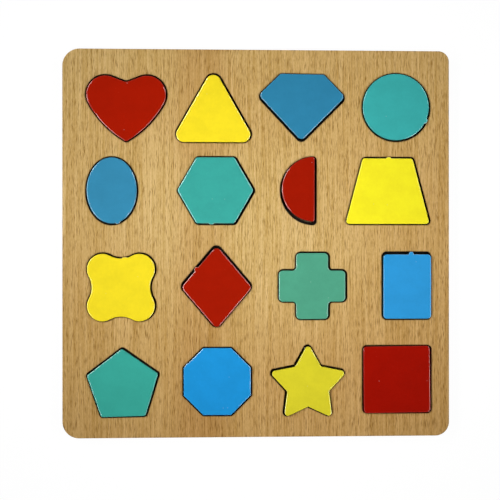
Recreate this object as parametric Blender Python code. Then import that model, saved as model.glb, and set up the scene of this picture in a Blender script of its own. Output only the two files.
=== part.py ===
"""Square wooden shape board with sixteen loose painted inserts in matching sockets.

Units are metres. The board lies flat: +Z is up, +X runs right along the rows and +Y up the
columns. The origin is the middle of the underside.

Every outline is a chain of circles joined by their common tangents, kept as points with
outward normals. Moving the points along their normals gives the parallel outline, so a
socket is its insert's outline moved out by the clearances.
"""

import math
from dataclasses import dataclass

import bmesh
import bpy

# Sheets
BOARD_SIDE = 0.2250
BOARD_CORNER_RADII = (0.0081, 0.0062, 0.0100, 0.0097)
BACKING_THICKNESS = 0.0030
TRAY_THICKNESS = 0.0030
TRAY_EDGE_RADIUS = 0.0006
BACKING_EDGE_RADIUS = 0.0006
GLUE_LINE = 0.0003

# Fit of the inserts
INSERT_THICKNESS = 0.0045
SEAT_GAP = 0.0003
RIM_RADIUS = 0.0004
NUB_WIDTH = 0.0033
NUB_FLAT_SHARE = 0.5
NUB_END_GAP = 0.0002

# Side clearances of the sockets, left to right and up and down
CLEARANCE = (0.0008, 0.0008)
GEM_CLEARANCE = (0.0008, 0.0010)
SEMICIRCLE_CLEARANCE = (0.0012, 0.00125)
QUATREFOIL_CLEARANCE = (0.0007, 0.0006)
RHOMBUS_CLEARANCE = (0.00095, 0.00105)
CROSS_CLEARANCE = (0.0008, 0.0007)
RECTANGLE_CLEARANCE = (0.00065, 0.00125)
OCTAGON_CLEARANCE = (0.0007, 0.0006)
SQUARE_CLEARANCE = (0.0008, 0.00055)

# Rows, as free lengths from the top edge down to the bottom edge
ROW_HEIGHT = 0.0400
ROW_SPACES = (0.0140, 0.0079, 0.0153, 0.0150, 0.0128)

# Columns of each row, as free lengths from the left edge to the right edge
ROW_1_SPACES = (0.0132, 0.0045, 0.0041, 0.0102, 0.0111)
ROW_2_SPACES = (0.0133, 0.0226, 0.0146, 0.0169, 0.0110)
ROW_3_SPACES = (0.0138, 0.0141, 0.0152, 0.0203, 0.0105)
ROW_4_SPACES = (0.0138, 0.0132, 0.0105, 0.01025, 0.01045)

# Row 1
HEART_WIDTH = 0.0458
HEART_HEIGHT = 0.0378
HEART_LOBE_RADIUS = 0.0109
HEART_SIDE_RADIUS = 0.0580
HEART_TIP_RADIUS = 0.0017
HEART_NOTCH_RADIUS = 0.0045
HEART_NOTCH_DEPTH = 0.0035
HEART_RISE = -0.0004
TRIANGLE_WIDTH = 0.0429
TRIANGLE_HEIGHT = 0.0389
TRIANGLE_CORNER_RADIUS = 0.0045
GEM_WIDTH = 0.0483
GEM_HEIGHT = 0.0376
GEM_TABLE_WIDTH = 0.0254
GEM_CROWN_HEIGHT = 0.0127
GEM_TABLE_RADIUS = 0.0012
GEM_CORNER_RADIUS = 0.0029
GEM_RISE = 0.0004
CIRCLE_DIAMETER = 0.0387
CIRCLE_RISE = 0.0008

# Row 2
OVAL_WIDTH = 0.0287
OVAL_HEIGHT = 0.0381
OVAL_RISE = -0.0002
HEXAGON_ACROSS_FLATS = 0.0382
HEXAGON_CORNER_RADIUS = 0.0020
SEMICIRCLE_WIDTH = 0.0190
SEMICIRCLE_RADIUS = 0.01885
SEMICIRCLE_CORNER_RADIUS = 0.0012
TRAPEZOID_BASE_WIDTH = 0.0484
TRAPEZOID_TOP_WIDTH = 0.0292
TRAPEZOID_HEIGHT = 0.0382
TRAPEZOID_CORNER_RADIUS = 0.0018

# Row 3
QUATREFOIL_WIDTH = 0.0390
QUATREFOIL_HEIGHT = 0.0389
QUATREFOIL_LOBE_RADIUS = 0.0089
QUATREFOIL_DIP = 0.0027
QUATREFOIL_RISE = -0.0005
RHOMBUS_WIDTH = 0.0393
RHOMBUS_HEIGHT = 0.0454
RHOMBUS_CORNER_RADIUS = 0.0029
RHOMBUS_RISE = -0.0002
CROSS_WIDTH = 0.0387
CROSS_HEIGHT = 0.0383
CROSS_UPRIGHT_WIDTH = 0.0186
CROSS_BAR_HEIGHT = 0.0180
CROSS_CORNER_RADIUS = 0.0024
CROSS_INNER_RADIUS = 0.0023
RECTANGLE_WIDTH = 0.0280
RECTANGLE_HEIGHT = 0.0375
RECTANGLE_CORNER_RADIUS = 0.0021

# Row 4
PENTAGON_CIRCUMRADIUS = 0.0216
PENTAGON_CORNER_RADIUS = 0.0013
PENTAGON_RISE = -0.0006
OCTAGON_ACROSS_FLATS = 0.0388
OCTAGON_CORNER_RADIUS = 0.0010
OCTAGON_RISE = -0.0004
STAR_TIP_REACH = 0.0220
STAR_WAIST = 0.0130
STAR_TIP_RADIUS = 0.0019
STAR_WAIST_RADIUS = 0.0013
SQUARE_WIDTH = 0.0391
SQUARE_HEIGHT = 0.0388
SQUARE_CORNER_RADIUS = 0.0020
SQUARE_RISE = 0.0004

# Facets
ARC_TOLERANCE = 0.00003
SMALLEST_ARC_RADIUS = 4 * ARC_TOLERANCE
RIM_STEPS = 3
SHARP_ANGLE = math.radians(35)
ANGLE_NOISE = 0.01

# Colours of the materials, linear
BEECH = (0.58, 0.37, 0.13)
PLYWOOD = (0.55, 0.38, 0.18)
RED = (0.37, 0.010, 0.002)
DARK_RED = (0.29, 0.006, 0.002)
YELLOW = (0.95, 0.78, 0.022)
STEEL_BLUE = (0.030, 0.23, 0.42)
SKY_BLUE = (0.022, 0.32, 0.74)
TEAL = (0.045, 0.40, 0.36)
GREEN_TEAL = (0.085, 0.38, 0.26)
PLYWOOD_ROUGHNESS = 0.6
BEECH_ROUGHNESS = 0.45
PAINT_ROUGHNESS = 0.28


def arc_steps(radius, sweep):
    """Number of chords that keep an arc within the tolerance."""
    bend = max(abs(radius), SMALLEST_ARC_RADIUS)
    widest = 2 * math.acos(1 - ARC_TOLERANCE / bend)
    return max(1, math.ceil(abs(sweep) / widest))


def tangent_chain(circles):
    """Outline round a counter-clockwise chain of circles (x, y, radius).

    A corner that bulges out has a positive radius, and one that dips in a negative one.
    The outline is a list of (x, y, normal x, normal y).
    """
    count = len(circles)
    normals = []
    for index, (x, y, radius) in enumerate(circles):
        next_x, next_y, next_radius = circles[(index + 1) % count]
        length = math.hypot(next_x - x, next_y - y)
        heading = math.atan2(next_y - y, next_x - x)
        lean = max(-1.0, min(1.0, (radius - next_radius) / length))
        normals.append(heading - math.pi / 2 + math.asin(lean))
    outline = []
    for index, (x, y, radius) in enumerate(circles):
        start = normals[index - 1]
        sweep = (normals[index] - start + math.pi) % math.tau - math.pi
        if radius > 0 and sweep < -ANGLE_NOISE:
            sweep += math.tau
        steps = arc_steps(radius, sweep)
        for step in range(steps + 1):
            angle = start + sweep * step / steps
            normal_x = math.cos(angle)
            normal_y = math.sin(angle)
            outline.append((x + radius * normal_x, y + radius * normal_y, normal_x, normal_y))
    return outline


def centre_of_long_arc(first, second, radius):
    """Centre of the arc of this radius that holds both circles (x, y, radius) inside, touching."""
    reach_1 = radius - first[2]
    reach_2 = radius - second[2]
    gap_x = second[0] - first[0]
    gap_y = second[1] - first[1]
    gap = math.hypot(gap_x, gap_y)
    along = (reach_1 ** 2 - reach_2 ** 2 + gap ** 2) / (2 * gap)
    across = math.sqrt(reach_1 ** 2 - along ** 2)
    x = first[0] + (along * gap_x - across * gap_y) / gap
    y = first[1] + (along * gap_y + across * gap_x) / gap
    return x, y


def parallel_outline(outline, distance):
    """The outline moved out by a distance, as plain points."""
    return [(x + nx * distance, y + ny * distance) for x, y, nx, ny in outline]


def socket_outline(outline, clearance):
    """The outline moved out by the clearances across and up, as plain points."""
    across, up = clearance
    return [(x + nx * across, y + ny * up) for x, y, nx, ny in outline]


def turned_outline(outline, angle):
    """The outline turned about its origin."""
    cosine = math.cos(angle)
    sine = math.sin(angle)
    return [
        (x * cosine - y * sine, x * sine + y * cosine, nx * cosine - ny * sine, nx * sine + ny * cosine)
        for x, y, nx, ny in outline
    ]


def rounded_corners(corners, radius):
    """Circles that fillet the sharp corners (x, y) of a convex polygon, counter-clockwise."""
    count = len(corners)
    circles = []
    for index, (x, y) in enumerate(corners):
        before_x, before_y = corners[index - 1]
        after_x, after_y = corners[(index + 1) % count]
        before = math.atan2(before_y - y, before_x - x)
        after = math.atan2(after_y - y, after_x - x)
        half = ((before - after) % math.tau) / 2
        middle = after + half
        reach = radius / math.sin(half)
        circles.append((x + reach * math.cos(middle), y + reach * math.sin(middle), radius))
    return circles


def regular_corners(sides, circumradius, first_angle):
    """Sharp corners of a regular polygon."""
    angles = [first_angle + math.tau * index / sides for index in range(sides)]
    return [(circumradius * math.cos(angle), circumradius * math.sin(angle)) for angle in angles]


def rounded_box(width, height, radii):
    """Rectangle with round corners: lower right, upper right, upper left, lower left."""
    sides = ((1, -1), (1, 1), (-1, 1), (-1, -1))
    return tangent_chain([
        (side_x * (width / 2 - radius), side_y * (height / 2 - radius), radius)
        for (side_x, side_y), radius in zip(sides, radii)
    ])


def heart_outline():
    """Two lobes, a small notch between them, long bowed sides and a tight tip."""
    lobe_x = HEART_WIDTH / 2 - HEART_LOBE_RADIUS
    lobe_y = HEART_HEIGHT / 2 - HEART_LOBE_RADIUS
    right_lobe = (lobe_x, lobe_y, HEART_LOBE_RADIUS)
    left_lobe = (-lobe_x, lobe_y, HEART_LOBE_RADIUS)
    notch_y = HEART_HEIGHT / 2 - HEART_NOTCH_DEPTH + HEART_NOTCH_RADIUS
    tip = (0.0, -HEART_HEIGHT / 2 + HEART_TIP_RADIUS, HEART_TIP_RADIUS)
    side_x, side_y = centre_of_long_arc(tip, right_lobe, HEART_SIDE_RADIUS)
    return tangent_chain([
        tip,
        (side_x, side_y, HEART_SIDE_RADIUS),
        right_lobe,
        (0.0, notch_y, -HEART_NOTCH_RADIUS),
        left_lobe,
        (-side_x, side_y, HEART_SIDE_RADIUS),
    ])


def triangle_outline():
    """Upright triangle with generous corners."""
    radius = TRIANGLE_CORNER_RADIUS
    x = TRIANGLE_WIDTH / 2 - radius
    y = TRIANGLE_HEIGHT / 2 - radius
    return tangent_chain([(x, -y, radius), (0.0, y, radius), (-x, -y, radius)])


def gem_outline():
    """Cut stone seen from the side: flat table, short crown and a point below."""
    corner = GEM_CORNER_RADIUS
    table = GEM_TABLE_RADIUS
    table_x = GEM_TABLE_WIDTH / 2 - table / 2
    table_y = GEM_HEIGHT / 2 - table
    girdle_x = GEM_WIDTH / 2 - corner
    girdle_y = GEM_HEIGHT / 2 - GEM_CROWN_HEIGHT
    return tangent_chain([
        (0.0, -GEM_HEIGHT / 2 + corner, corner),
        (girdle_x, girdle_y, corner),
        (table_x, table_y, table),
        (-table_x, table_y, table),
        (-girdle_x, girdle_y, corner),
    ])


def ellipse_outline(width, height):
    """Ellipse, also the circle."""
    half_x = width / 2
    half_y = height / 2
    steps = arc_steps(max(half_x, half_y), math.tau)
    outline = []
    for step in range(steps):
        angle = math.tau * step / steps
        slope_x = math.cos(angle) / half_x
        slope_y = math.sin(angle) / half_y
        size = math.hypot(slope_x, slope_y)
        outline.append((half_x * math.cos(angle), half_y * math.sin(angle), slope_x / size, slope_y / size))
    return outline


def hexagon_outline():
    """Regular hexagon with points to left and right."""
    corners = regular_corners(6, HEXAGON_ACROSS_FLATS / math.sqrt(3), 0.0)
    return tangent_chain(rounded_corners(corners, HEXAGON_CORNER_RADIUS))


def semicircle_outline():
    """Half disc with its flat side to the right."""
    corner = SEMICIRCLE_CORNER_RADIUS
    bow_x = SEMICIRCLE_RADIUS - SEMICIRCLE_WIDTH / 2
    corner_x = SEMICIRCLE_WIDTH / 2 - corner
    corner_y = math.sqrt((SEMICIRCLE_RADIUS - corner) ** 2 - (corner_x - bow_x) ** 2)
    return tangent_chain([
        (bow_x, 0.0, SEMICIRCLE_RADIUS),
        (corner_x, -corner_y, corner),
        (corner_x, corner_y, corner),
    ])


def trapezoid_outline():
    """Trapezoid with its wide side down."""
    y = TRAPEZOID_HEIGHT / 2
    slope = math.atan2(TRAPEZOID_HEIGHT, (TRAPEZOID_BASE_WIDTH - TRAPEZOID_TOP_WIDTH) / 2)
    hidden = TRAPEZOID_CORNER_RADIUS * (1 / math.tan(slope / 2) - 1)
    base_x = TRAPEZOID_BASE_WIDTH / 2 + hidden
    top_x = TRAPEZOID_TOP_WIDTH / 2
    corners = [(base_x, -y), (top_x, y), (-top_x, y), (-base_x, -y)]
    return tangent_chain(rounded_corners(corners, TRAPEZOID_CORNER_RADIUS))


def quatrefoil_outline():
    """Square of four round lobes, with a shallow hollow in each side."""
    lobe = QUATREFOIL_LOBE_RADIUS
    lobe_x = QUATREFOIL_WIDTH / 2 - lobe
    lobe_y = QUATREFOIL_HEIGHT / 2 - lobe
    drop = lobe - QUATREFOIL_DIP
    hollow_x = (lobe_y ** 2 + drop ** 2 - lobe ** 2) / (2 * (lobe - drop))
    hollow_y = (lobe_x ** 2 + drop ** 2 - lobe ** 2) / (2 * (lobe - drop))
    side_x = lobe_x + drop + hollow_x
    side_y = lobe_y + drop + hollow_y
    return tangent_chain([
        (lobe_x, -lobe_y, lobe),
        (side_x, 0.0, -hollow_x),
        (lobe_x, lobe_y, lobe),
        (0.0, side_y, -hollow_y),
        (-lobe_x, lobe_y, lobe),
        (-side_x, 0.0, -hollow_x),
        (-lobe_x, -lobe_y, lobe),
        (0.0, -side_y, -hollow_y),
    ])


def rhombus_outline():
    """Rhombus standing on a point."""
    radius = RHOMBUS_CORNER_RADIUS
    x = RHOMBUS_WIDTH / 2 - radius
    y = RHOMBUS_HEIGHT / 2 - radius
    return tangent_chain([(0.0, -y, radius), (x, 0.0, radius), (0.0, y, radius), (-x, 0.0, radius)])


def cross_outline():
    """Plus sign with round outer corners and filleted inner ones."""
    outer = CROSS_CORNER_RADIUS
    inner = CROSS_INNER_RADIUS
    end_x = CROSS_WIDTH / 2 - outer
    end_y = CROSS_HEIGHT / 2 - outer
    arm_x = CROSS_UPRIGHT_WIDTH / 2
    arm_y = CROSS_BAR_HEIGHT / 2
    quarter = [
        (end_x, arm_y - outer, outer),
        (arm_x + inner, arm_y + inner, -inner),
        (arm_x - outer, end_y, outer),
    ]
    mirrored = [(-x, y, radius) for x, y, radius in reversed(quarter)]
    upper = quarter + mirrored
    lower = [(-x, -y, radius) for x, y, radius in upper]
    return tangent_chain(upper + lower)


def pentagon_outline():
    """Regular pentagon standing on a side."""
    corners = regular_corners(5, PENTAGON_CIRCUMRADIUS, math.pi / 2)
    return tangent_chain(rounded_corners(corners, PENTAGON_CORNER_RADIUS))


def octagon_outline():
    """Regular octagon with flat top and sides."""
    circumradius = OCTAGON_ACROSS_FLATS / 2 / math.cos(math.pi / 8)
    corners = regular_corners(8, circumradius, math.pi / 8)
    return tangent_chain(rounded_corners(corners, OCTAGON_CORNER_RADIUS))


def star_outline():
    """Five-pointed star with round tips."""
    tip_reach = STAR_TIP_REACH - STAR_TIP_RADIUS
    waist_reach = STAR_WAIST + STAR_WAIST_RADIUS
    circles = []
    for point in range(5):
        tip_angle = math.pi / 2 + math.tau * point / 5
        waist_angle = tip_angle + math.pi / 5
        circles.append((tip_reach * math.cos(tip_angle), tip_reach * math.sin(tip_angle), STAR_TIP_RADIUS))
        circles.append(
            (waist_reach * math.cos(waist_angle), waist_reach * math.sin(waist_angle), -STAR_WAIST_RADIUS)
        )
    return tangent_chain(circles)


@dataclass
class Insert:
    """One loose piece and the socket it sits in.

    The socket may lie a little above or below its row's middle line and be turned a little.
    The insert lies loose in it: it leans to the right and up by shares of the clearances, and
    may be turned. A nub is what is left of the bridge that held the piece while it was cut,
    in the given direction from the middle. Turns and directions are in degrees.
    """

    name: str
    outline: list
    colour: tuple
    clearance: tuple = CLEARANCE
    rise: float = 0.0
    socket_turn: float = 0.0
    lean: tuple = (0.0, 0.0)
    turn: float = 0.0
    nub: float | None = None


CIRCLE = ellipse_outline(CIRCLE_DIAMETER, CIRCLE_DIAMETER)
OVAL = ellipse_outline(OVAL_WIDTH, OVAL_HEIGHT)
RECTANGLE = rounded_box(RECTANGLE_WIDTH, RECTANGLE_HEIGHT, [RECTANGLE_CORNER_RADIUS] * 4)
SQUARE = rounded_box(SQUARE_WIDTH, SQUARE_HEIGHT, [SQUARE_CORNER_RADIUS] * 4)

ROWS = (
    (ROW_1_SPACES, (
        Insert("heart", heart_outline(), RED, rise=HEART_RISE, lean=(-0.15, -0.25)),
        Insert("triangle", triangle_outline(), YELLOW, lean=(-0.3, -0.55)),
        Insert("gem", gem_outline(), STEEL_BLUE, clearance=GEM_CLEARANCE, rise=GEM_RISE,
               socket_turn=-0.9, lean=(-0.05, 0.6)),
        Insert("circle", CIRCLE, TEAL, rise=CIRCLE_RISE, lean=(-0.35, 0.25), nub=-25),
    )),
    (ROW_2_SPACES, (
        Insert("oval", OVAL, STEEL_BLUE, rise=OVAL_RISE, lean=(0.0, 0.2), nub=-79),
        Insert("hexagon", hexagon_outline(), TEAL, lean=(-0.58, 0.15), nub=-97),
        Insert("semicircle", semicircle_outline(), RED, clearance=SEMICIRCLE_CLEARANCE,
               lean=(-0.1, 0.75)),
        Insert("trapezoid", trapezoid_outline(), YELLOW, lean=(-0.55, -0.25), nub=88),
    )),
    (ROW_3_SPACES, (
        Insert("quatrefoil", quatrefoil_outline(), YELLOW, clearance=QUATREFOIL_CLEARANCE,
               rise=QUATREFOIL_RISE, lean=(-0.4, -0.5), nub=83),
        Insert("rhombus", rhombus_outline(), RED, clearance=RHOMBUS_CLEARANCE, rise=RHOMBUS_RISE,
               lean=(0.1, -0.62), nub=138),
        Insert("cross", cross_outline(), GREEN_TEAL, clearance=CROSS_CLEARANCE, lean=(-0.42, -0.2)),
        Insert("rectangle", RECTANGLE, SKY_BLUE, clearance=RECTANGLE_CLEARANCE,
               lean=(0.45, -0.4), nub=83),
    )),
    (ROW_4_SPACES, (
        Insert("pentagon", pentagon_outline(), TEAL, rise=PENTAGON_RISE, socket_turn=1.0,
               lean=(-0.25, -0.25), turn=0.3),
        Insert("octagon", octagon_outline(), SKY_BLUE, clearance=OCTAGON_CLEARANCE, rise=OCTAGON_RISE,
               lean=(-0.1, 0.2), nub=151),
        Insert("star", star_outline(), YELLOW, lean=(0.42, -0.48)),
        Insert("square", SQUARE, DARK_RED, clearance=SQUARE_CLEARANCE, rise=SQUARE_RISE,
               lean=(-0.2, -0.1), turn=0.6),
    )),
)
INSERTS = [insert for spaces, inserts in ROWS for insert in inserts]


def socket_box(insert):
    """Lowest and highest x and y of an insert's socket."""
    points = socket_outline(insert.outline, insert.clearance)
    across = [x for x, y in points]
    up = [y for x, y in points]
    return min(across), max(across), min(up), max(up)


def shared_out(spaces, total):
    """The spaces stretched or shrunk alike so that they add up to a total."""
    factor = total / sum(spaces)
    return [space * factor for space in spaces]


def socket_places():
    """Middle of each socket: the rows and the sockets in them share out what the board leaves free."""
    places = {}
    row_gaps = shared_out(ROW_SPACES, BOARD_SIDE - len(ROWS) * ROW_HEIGHT)
    edge_y = BOARD_SIDE / 2
    for row_gap, (spaces, inserts) in zip(row_gaps, ROWS):
        middle_y = edge_y - row_gap - ROW_HEIGHT / 2
        edge_y = middle_y - ROW_HEIGHT / 2
        boxes = [socket_box(insert) for insert in inserts]
        widths = [box[1] - box[0] for box in boxes]
        gaps = shared_out(spaces, BOARD_SIDE - sum(widths))
        left = -BOARD_SIDE / 2
        for insert, box, width, gap in zip(inserts, boxes, widths, gaps):
            left += gap
            middle_of_box = (box[2] + box[3]) / 2
            places[insert.name] = (left - box[0], middle_y + insert.rise - middle_of_box)
            left += width
    return places


def principled(name, colour, roughness):
    """A plain material."""
    material = bpy.data.materials.new(name)
    material.use_nodes = True
    shader = material.node_tree.nodes["Principled BSDF"]
    shader.inputs["Base Color"].default_value = (*colour, 1.0)
    shader.inputs["Roughness"].default_value = roughness
    shader.inputs["Metallic"].default_value = 0.0
    return material


def add_ring(bm, points, z):
    """Vertices of one outline at one height."""
    return [bm.verts.new((x, y, z)) for x, y in points]


def bridge_rings(bm, rings, inward=False):
    """Walls through a stack of rings, facing out, or into the hole where inward."""
    for low, high in zip(rings, rings[1:]):
        for index in range(len(low)):
            after = (index + 1) % len(low)
            corners = [low[index], low[after], high[after], high[index]]
            if inward:
                corners.reverse()
            bm.faces.new(corners)


def ring_edges(bm, ring):
    """Edges round one ring."""
    return [bm.edges.get((ring[index - 1], ring[index])) for index in range(len(ring))]


def fill_cap(bm, rings, upward):
    """Flat face between an outer ring and the holes in it."""
    edges = [edge for ring in rings for edge in ring_edges(bm, ring)]
    filled = bmesh.ops.triangle_fill(bm, use_beauty=True, use_dissolve=False, edges=edges)
    for face in filled["geom"]:
        if isinstance(face, bmesh.types.BMFace):
            face.normal_update()
            if (face.normal.z > 0) != upward:
                face.normal_flip()


def edge_profile(radius, steps):
    """Steps round a quarter-round edge: (distance in from the wall, height below the face)."""
    angles = [math.pi / 2 * step / steps for step in range(steps + 1)]
    return [(radius * (1 - math.cos(angle)), radius * (1 - math.sin(angle))) for angle in angles]


def without_doubles(outline):
    """The outline without a point that repeats the one before it."""
    kept = []
    for point in outline:
        if not kept or math.hypot(point[0] - kept[-1][0], point[1] - kept[-1][1]) > ARC_TOLERANCE:
            kept.append(point)
    if math.hypot(kept[0][0] - kept[-1][0], kept[0][1] - kept[-1][1]) <= ARC_TOLERANCE:
        kept.pop()
    return kept


def with_nub(insert, outline):
    """The outline with a small flat-topped bump that all but reaches the socket wall."""
    ray_x = math.cos(math.radians(insert.nub))
    ray_y = math.sin(math.radians(insert.nub))
    bends = (-1.0, -NUB_FLAT_SHARE, NUB_FLAT_SHARE, 1.0)
    points = []
    count = len(outline)
    for index in range(count):
        x1, y1, nx, ny = outline[index]
        x2, y2, mx, my = outline[(index + 1) % count]
        margin = ARC_TOLERANCE / math.hypot(x2 - x1, y2 - y1)
        aside_1 = (y1 * ray_x - x1 * ray_y) / (NUB_WIDTH / 2)
        aside_2 = (y2 * ray_x - x2 * ray_y) / (NUB_WIDTH / 2)
        parts = [0.0]
        if abs(aside_2 - aside_1) > ANGLE_NOISE:
            crossings = sorted((bend - aside_1) / (aside_2 - aside_1) for bend in bends)
            parts += [part for part in crossings if margin < part < 1 - margin]
        for part in parts:
            x = x1 + (x2 - x1) * part
            y = y1 + (y2 - y1) * part
            wall_x = nx + (mx - nx) * part
            wall_y = ny + (my - ny) * part
            ahead = x * ray_x + y * ray_y > 0
            aside = abs(aside_1 + (aside_2 - aside_1) * part)
            if ahead:
                across = insert.clearance[0] * wall_x * (wall_x - insert.lean[0])
                up = insert.clearance[1] * wall_y * (wall_y - insert.lean[1])
                reach = across + up - NUB_END_GAP
                rise = reach * max(0.0, min(1.0, (1 - aside) / (1 - NUB_FLAT_SHARE)))
                points.append((x + wall_x * rise, y + wall_y * rise, wall_x, wall_y))
            elif part == 0.0:
                points.append((x, y, nx, ny))
    return points


def new_object(name, bm, material):
    """One sub-part from its mesh, shaded smooth up to its sharp edges."""
    mesh = bpy.data.meshes.new(name)
    bm.to_mesh(mesh)
    bm.free()
    mesh.materials.append(material)
    mesh.shade_smooth()
    mesh.set_sharp_from_angle(angle=SHARP_ANGLE)
    part = bpy.data.objects.new(name, mesh)
    bpy.context.scene.collection.objects.link(part)
    return part


def make_backing(material):
    """The plain sheet under the tray, the floor of every socket."""
    outline = rounded_box(BOARD_SIDE, BOARD_SIDE, BOARD_CORNER_RADII)
    bm = bmesh.new()
    rings = []
    for inset, height in reversed(edge_profile(BACKING_EDGE_RADIUS, RIM_STEPS)):
        rings.append(add_ring(bm, parallel_outline(outline, -inset), height))
    rings.append(add_ring(bm, parallel_outline(outline, 0.0), BACKING_THICKNESS))
    bridge_rings(bm, rings)
    fill_cap(bm, [rings[0]], upward=False)
    fill_cap(bm, [rings[-1]], upward=True)
    return new_object("backing_board", bm, material)


def make_tray(places, material):
    """The top sheet, rounded along its outer edge, with the sixteen sockets cut right through."""
    outline = rounded_box(BOARD_SIDE, BOARD_SIDE, BOARD_CORNER_RADII)
    bm = bmesh.new()
    rings = [add_ring(bm, parallel_outline(outline, 0.0), 0.0)]
    for inset, depth in edge_profile(TRAY_EDGE_RADIUS, RIM_STEPS):
        rings.append(add_ring(bm, parallel_outline(outline, -inset), TRAY_THICKNESS - depth))
    bridge_rings(bm, rings)
    low_rings = [rings[0]]
    high_rings = [rings[-1]]
    for insert in INSERTS:
        centre_x, centre_y = places[insert.name]
        turned = without_doubles(turned_outline(insert.outline, math.radians(insert.socket_turn)))
        points = [(x + centre_x, y + centre_y) for x, y in socket_outline(turned, insert.clearance)]
        socket = [add_ring(bm, points, 0.0), add_ring(bm, points, TRAY_THICKNESS)]
        bridge_rings(bm, socket, inward=True)
        low_rings.append(socket[0])
        high_rings.append(socket[1])
    fill_cap(bm, low_rings, upward=False)
    fill_cap(bm, high_rings, upward=True)
    tray = new_object("tray_sheet", bm, material)
    tray.location.z = BACKING_THICKNESS + GLUE_LINE
    return tray


def make_insert(insert, places):
    """A loose piece, flat underneath, with a soft painted rim round its top face."""
    outline = without_doubles(insert.outline)
    if insert.nub is not None:
        outline = with_nub(insert, outline)
    bm = bmesh.new()
    rings = [add_ring(bm, parallel_outline(outline, 0.0), 0.0)]
    for inset, depth in edge_profile(RIM_RADIUS, RIM_STEPS):
        rings.append(add_ring(bm, parallel_outline(outline, -inset), INSERT_THICKNESS - depth))
    bridge_rings(bm, rings)
    fill_cap(bm, [rings[0]], upward=False)
    fill_cap(bm, [rings[-1]], upward=True)
    part = new_object(insert.name, bm, principled(insert.name + "_paint", insert.colour, PAINT_ROUGHNESS))
    centre_x, centre_y = places[insert.name]
    part.location = (
        centre_x + insert.lean[0] * insert.clearance[0],
        centre_y + insert.lean[1] * insert.clearance[1],
        BACKING_THICKNESS + SEAT_GAP,
    )
    part.rotation_euler.z = math.radians(insert.socket_turn + insert.turn)
    return part


def clear_scene():
    """Remove whatever objects the scene holds."""
    for old in list(bpy.data.objects):
        bpy.data.objects.remove(old, do_unlink=True)


def main():
    """Build the board and its inserts."""
    clear_scene()
    places = socket_places()
    make_backing(principled("backing_plywood", PLYWOOD, PLYWOOD_ROUGHNESS))
    make_tray(places, principled("beech_face", BEECH, BEECH_ROUGHNESS))
    for insert in INSERTS:
        make_insert(insert, places)


main()
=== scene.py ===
import math

import bmesh
import bpy
from mathutils import Matrix, Vector
from mathutils.geometry import delaunay_2d_cdt


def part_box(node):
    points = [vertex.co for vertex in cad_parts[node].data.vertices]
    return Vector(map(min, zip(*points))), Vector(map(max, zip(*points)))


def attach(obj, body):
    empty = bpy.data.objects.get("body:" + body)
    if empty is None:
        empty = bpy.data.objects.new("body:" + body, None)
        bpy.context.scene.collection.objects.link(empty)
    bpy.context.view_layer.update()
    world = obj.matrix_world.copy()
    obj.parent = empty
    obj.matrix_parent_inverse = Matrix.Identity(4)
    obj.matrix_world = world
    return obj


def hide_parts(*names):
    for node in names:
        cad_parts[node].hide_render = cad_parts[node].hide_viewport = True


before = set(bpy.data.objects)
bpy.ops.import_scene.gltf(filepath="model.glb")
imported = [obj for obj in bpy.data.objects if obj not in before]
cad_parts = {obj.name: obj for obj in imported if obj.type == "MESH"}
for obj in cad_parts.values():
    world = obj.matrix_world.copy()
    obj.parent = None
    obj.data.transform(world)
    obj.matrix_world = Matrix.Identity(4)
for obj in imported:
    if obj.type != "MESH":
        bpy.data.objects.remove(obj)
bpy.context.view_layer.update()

MM = 0.001

# Camera
CAMERA_PLACE = (-0.03864, -0.00401, 0.70545)
CAMERA_TILTS = (0.0002736, -0.0492506, -0.000487)
CAMERA_LENS = 86.81
CAMERA_CLIP = 0.01
SENSOR_WIDTH = 36.0

# Lamps, as bearings in degrees and radiances, round a middle a little above the board's
LAMPS = ((147, 21.8), (180, 21.8), (213, 18.0), (-42, 12.9), (-15, 16.5), (26, 14.8))
LAMP_SIZE = (0.34, 0.17)
LAMP_BEAM = 33.4
LAMP_REACH = 0.62
LAMP_HEIGHT = 0.50
LAMP_MIDDLE_Y = 0.03
LAMP_AIM = (-0.011, 0.0146, 0.0)

# Studio: the paper's half side and how far it lies under the board, its colour, its glow and how far the
# glow hides the shadow; the room's dimming between two heights of the view's direction
PAPER_HALF_SIDE = 3.0
PAPER_DROP = 0.05 * MM
PAPER_COLOUR = (0.86, 0.86, 0.86)
PAPER_GLOW = 1.03
PAPER_GLOW_SHARE = 0.93
ROOM_HEIGHTS = (0.35, 0.95)
ROOM_LIGHTS = (0.22, 0.02)

# Edges of the pieces
FINE_EDGE = 0.12 * MM
BOARD_EDGE = 0.6 * MM
# Rim of a painted top: millimetres in from the outline, millimetres down, degrees of the normal's rise
PAINT_RIM = (
    (0.00, 0.800, 0.0), (0.00, 0.420, 0.0), (0.03, 0.310, 22.0), (0.08, 0.235, 42.0), (0.14, 0.185, 56.0),
    (0.20, 0.152, 61.5), (0.30, 0.101, 65.0), (0.40, 0.057, 69.5), (0.55, 0.017, 79.0), (0.75, 0.000, 90.0),
)
NUB_HALF_WIDTH = 1.9 * MM
NUB_DEPTH = 0.5 * MM
NUB_LEVELLING = 0.8
RIM_STEPS = 7
EDGE_STEPS = 3
SCORCH_REACH = 0.7 * MM
# Painted shade on the socket floors: how far under the tray and how far into each socket it reaches
PAINTED_SHADE_UNDER = 0.4 * MM
PAINTED_SHADE_REACH = 2.8 * MM
GLUE_RECESS = 0.18 * MM
BOARD_PLIES = 3
INSERT_PLIES = 5

# Outlines
SAME_POINT = 1e-6
SAME_HEIGHT = 2e-6
FLAT_NORMAL = 0.9
OFFSET_STEP = 0.8 * MM
OFFSET_SLACK = 0.006 * MM
INSET_SHARE = 0.9
LONG_EDGE_RATIO = 2.5
CORNER_TURN = 32.0
STRAIGHT_COSINE = 0.99999
FAIR_CHORD = 0.35 * MM

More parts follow.
